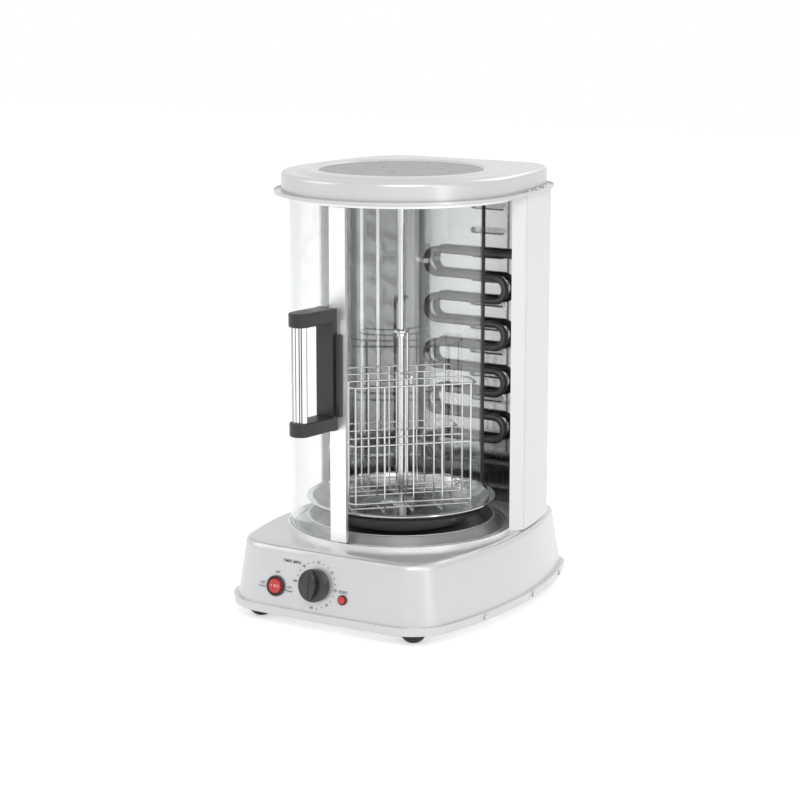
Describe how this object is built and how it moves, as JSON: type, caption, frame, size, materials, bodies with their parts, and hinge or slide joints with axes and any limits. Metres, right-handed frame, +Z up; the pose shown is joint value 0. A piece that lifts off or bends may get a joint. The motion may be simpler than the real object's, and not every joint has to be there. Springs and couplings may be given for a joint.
{
  "type": "electric skewer grill",
  "caption": "Upright electric rotisserie grill with a turning wire-basket spit, drip tray, bent tubular heater, sliding curved glass door, timer dial and power rocker.",
  "frame": {"origin": "on the cooking (turning) axis, level with the soles of the feet", "axes": "+Z up along the cooking axis, front with the controls towards -Y, +X to the viewer's right"},
  "size_m": [0.313, 0.3699, 0.497],
  "materials": {
    "silver_paint": "fine metallic silver-grey paint, satin",
    "light_panel_paint": "smooth light grey enamel",
    "pan_coat": "dark metallic grey coating",
    "polished_steel": "polished stainless sheet",
    "bright_wire": "bright plated wire",
    "zinc_steel": "zinc-plated",
    "element_sheath": "dark satin tubular sheath",
    "ceramic": "white ceramic, stands in for porcelain",
    "door_glass": "clear tempered glass",
    "door_strip": "satin light moulding",
    "dark_edging": "black edging",
    "black_plastic": "black heat-proof moulding, satin",
    "grip_aluminium": "satin extruded aluminium",
    "rocker_red": "red translucent rocker",
    "foot_rubber": "black rubber",
    "motor_case": "drawn steel can"
  },
  "bodies": {
    "cabinet": {"base_shell": "silver_paint", "base_bottom_plate": "zinc_steel", "rubber_feet": "foot_rubber", "foot_screws": "zinc_steel", "rim_screws": "zinc_steel", "floor_pan": "pan_coat", "floor_pan_screws": "zinc_steel", "lower_glass_track": "door_strip", "upper_glass_track": "door_strip", "rear_housing": "light_panel_paint", "rear_cover": "silver_paint", "rear_cover_screws": "zinc_steel", "housing_trim_left": "light_panel_paint", "housing_trim_right": "light_panel_paint", "rear_liner": "polished_steel", "slotted_reflector": "polished_steel", "side_reflector_left": "polished_steel", "side_reflector_right": "polished_steel", "chamber_ceiling": "polished_steel", "heating_element": "element_sheath", "element_clips": "zinc_steel", "element_clip_screws": "zinc_steel", "element_insulators": "ceramic", "element_pins": "zinc_steel", "lid_flange": "silver_paint", "lid_flange_screws": "zinc_steel", "lid_cover": "silver_paint", "lid_disc": "pan_coat", "top_bearing": "zinc_steel", "spit_motor": "motor_case", "spit_gearbox": "motor_case", "motor_bracket": "zinc_steel", "motor_bracket_screws": "zinc_steel", "power_switch_body": "black_plastic", "timer_body": "black_plastic", "thermal_cutout": "black_plastic", "terminal_block": "black_plastic", "cord_inlet": "black_plastic"},
    "door": {"door_glass": "door_glass", "door_edge_strip": "door_strip", "door_rear_edging": "dark_edging", "door_guide_shoes": "black_plastic", "handle_back_plate": "black_plastic", "handle_upper_arm": "black_plastic", "handle_lower_arm": "black_plastic", "handle_grip": "grip_aluminium", "handle_screws": "zinc_steel"},
    "turntable": {"drive_hub": "zinc_steel", "drip_tray": "polished_steel"},
    "spit": {"spit_rod": "bright_wire", "basket_front": "bright_wire", "basket_rear": "bright_wire", "basket_lifting_rod": "bright_wire"},
    "timer_knob": {"timer_knob": "black_plastic"},
    "power_rocker": {"power_rocker": "rocker_red"},
    "reset_button": {"reset_button": "rocker_red"}
  },
  "joints": [
    {"name": "door_slide", "type": "hinge", "parent": "cabinet", "child": "door", "pos_m": [0, 0, 0.28], "axis": [0, 0, 1], "range_deg": [-60, 98]},
    {"name": "turntable_spin", "type": "hinge", "parent": "cabinet", "child": "turntable", "pos_m": [0, 0, 0.09], "axis": [0, 0, 1], "continuous": true},
    {"name": "spit_lift", "type": "slide", "parent": "turntable", "child": "spit", "axis": [0, 0, 1], "range_m": [0, 0.01]},
    {"name": "timer_turn", "type": "hinge", "parent": "cabinet", "child": "timer_knob", "pos_m": [-0.0095, -0.16375, 0.053], "axis": [0, -0.9877, 0.1564], "range_deg": [-180, 90]},
    {"name": "power_rock", "type": "hinge", "parent": "cabinet", "child": "power_rocker", "pos_m": [-0.0615, -0.16403, 0.04484], "axis": [0, 0.1564, 0.9877], "range_deg": [-10, 10]},
    {"name": "reset_press", "type": "slide", "parent": "cabinet", "child": "reset_button", "axis": [0, 0.9877, -0.1564], "range_m": [0, 0.0025], "stiffness_N_per_m": 400}
  ]
}
